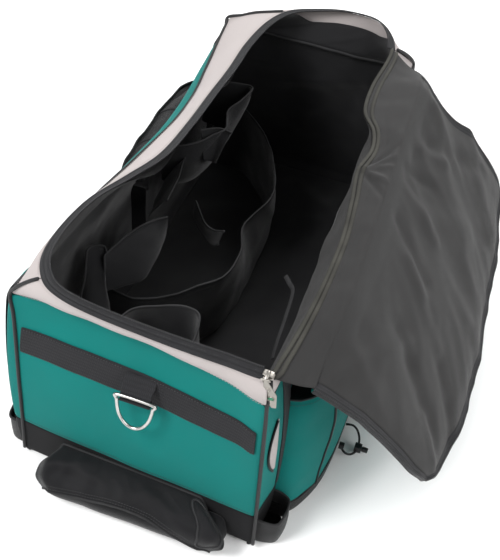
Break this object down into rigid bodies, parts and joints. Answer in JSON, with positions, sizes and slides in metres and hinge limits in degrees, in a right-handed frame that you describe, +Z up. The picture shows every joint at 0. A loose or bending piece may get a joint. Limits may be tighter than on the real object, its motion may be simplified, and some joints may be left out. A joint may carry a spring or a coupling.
{
  "type": "equipment bag",
  "caption": "Soft rectangular gear bag with an open zipped lid, inner and outer pockets, end rings and side grab handles.",
  "frame": {"origin": "centre of the base's resting face", "axes": "+X the bag's right side, +Y along its length towards the rear end, +Z up"},
  "size_m": [0.5844, 0.7604, 0.3125],
  "materials": {
    "base_nylon": "heavy black nylon, slight sheen",
    "board": "plain stiffening board",
    "foam": "sheet foam stiffener",
    "lining_nylon": "thin black coated nylon",
    "teal_polyester": "teal woven polyester",
    "grey_polyester": "warm light grey woven polyester",
    "piping": "black corded binding",
    "zip_tape": "black zip tape",
    "black_nylon": "black woven nylon",
    "webbing": "black polypropylene webbing",
    "ring_steel": "nickel plated wire",
    "lid_lining": "charcoal coated nylon",
    "zip_metal": "nickel plated zinc",
    "tag_fabric": "woven teal label, blank",
    "cord": "thin black round cord",
    "lock_plastic": "black moulded plastic"
  },
  "bodies": {
    "bag": {"floor_skin": "base_nylon", "base_band_front": "base_nylon", "base_band_right": "base_nylon", "base_band_rear": "base_nylon", "base_band_left": "base_nylon", "base_board": "board", "stiffener_front": "foam", "stiffener_right": "foam", "stiffener_rear": "foam", "stiffener_left": "foam", "lining_floor": "lining_nylon", "lining_front": "lining_nylon", "lining_right": "lining_nylon", "lining_rear": "lining_nylon", "lining_left": "lining_nylon", "inner_pocket_long": "lining_nylon", "inner_pocket_small": "lining_nylon", "inner_pocket_upper": "lining_nylon", "inner_pocket_front": "lining_nylon", "panel_front": "teal_polyester", "panel_right": "teal_polyester", "panel_rear": "teal_polyester", "panel_left": "teal_polyester", "right_pouch": "teal_polyester", "yoke_front": "grey_polyester", "yoke_right": "grey_polyester", "yoke_rear": "grey_polyester", "yoke_left": "grey_polyester", "corner_piping": "piping", "zip_tape": "zip_tape", "left_pouch": "black_nylon", "corner_pocket_right": "black_nylon", "corner_pocket_left": "black_nylon", "end_pouch": "black_nylon", "inner_loop": "webbing", "webbing_front": "webbing", "webbing_rear": "webbing", "ring_tab_front": "webbing", "ring_tab_rear": "webbing", "side_straps": "webbing", "side_tag": "tag_fabric", "drawcord": "cord", "cord_lock": "lock_plastic", "cord_clip": "lock_plastic"},
    "hinge_strip": {"hinge_strip": "lid_lining"},
    "lid": {"lid_outer": "teal_polyester", "lid_foam": "foam", "lid_lining": "lid_lining", "lid_zip_tape": "zip_tape"},
    "zip_slider": {"zip_slider": "zip_metal"},
    "zip_pull": {"zip_pull": "zip_metal"},
    "front_ring": {"d_ring_front": "ring_steel"},
    "rear_ring": {"d_ring_rear": "ring_steel"},
    "right_handle": {"handle_right": "webbing", "handle_grip_right": "black_nylon"},
    "left_handle": {"handle_left": "webbing", "handle_grip_left": "black_nylon"},
    "left_flap": {"left_pouch_flap": "black_nylon"},
    "end_flap": {"end_pouch_flap": "black_nylon"},
    "lock_button": {"cord_lock_button": "lock_plastic"}
  },
  "joints": [
    {"name": "lid_hinge", "type": "hinge", "parent": "bag", "child": "hinge_strip", "pos_m": [0.158, -0.332, 0.307], "axis": [0.0403, -0.9992, 0], "range_deg": [0, 174]},
    {"name": "lid_fold", "type": "hinge", "parent": "hinge_strip", "child": "lid", "pos_m": [0.20272, -0.33019, 0.3117], "axis": [0.0403, -0.9992, 0], "range_deg": [0, 52]},
    {"name": "zip_slide", "type": "slide", "parent": "bag", "child": "zip_slider", "axis": [-0.9994, 0.0335, 0], "range_m": [0, 0.225]},
    {"name": "zip_pull_swing", "type": "hinge", "parent": "zip_slider", "child": "zip_pull", "pos_m": [0.1477, -0.34686, 0.3068], "axis": [-0.9994, 0.0335, 0], "range_deg": [0, 175]},
    {"name": "front_ring_swing", "type": "hinge", "parent": "bag", "child": "front_ring", "pos_m": [0.00192, -0.35053, 0.203], "axis": [-1, 0, 0], "range_deg": [0, 160]},
    {"name": "rear_ring_swing", "type": "hinge", "parent": "bag", "child": "rear_ring", "pos_m": [0.00192, 0.35045, 0.203], "axis": [1, 0, 0], "range_deg": [0, 160]},
    {"name": "right_handle_swing", "type": "hinge", "parent": "bag", "child": "right_handle", "pos_m": [0.22575, -0.02, 0.148], "axis": [0, -1, 0], "range_deg": [0, 75]},
    {"name": "left_handle_swing", "type": "hinge", "parent": "bag", "child": "left_handle", "pos_m": [-0.20475, 0.152, 0.148], "axis": [0, 1, 0], "range_deg": [0, 150]},
    {"name": "left_flap_hinge", "type": "hinge", "parent": "bag", "child": "left_flap", "pos_m": [-0.156, 0.15, 0.184], "axis": [0, 1, 0], "range_deg": [0, 90]},
    {"name": "end_flap_hinge", "type": "hinge", "parent": "bag", "child": "end_flap", "pos_m": [0, -0.3555, 0.061], "axis": [-1, 0, 0], "range_deg": [0, 90]},
    {"name": "lock_button_press", "type": "slide", "parent": "bag", "child": "lock_button", "axis": [-1, 0, 0], "range_m": [0, 0.002], "stiffness_N_per_m": 150, "springref_m": -0.002}
  ],
  "couplings": [
    {"joint": "lid_fold", "follows": "lid_hinge", "ratio": 0.29885}
  ]
}
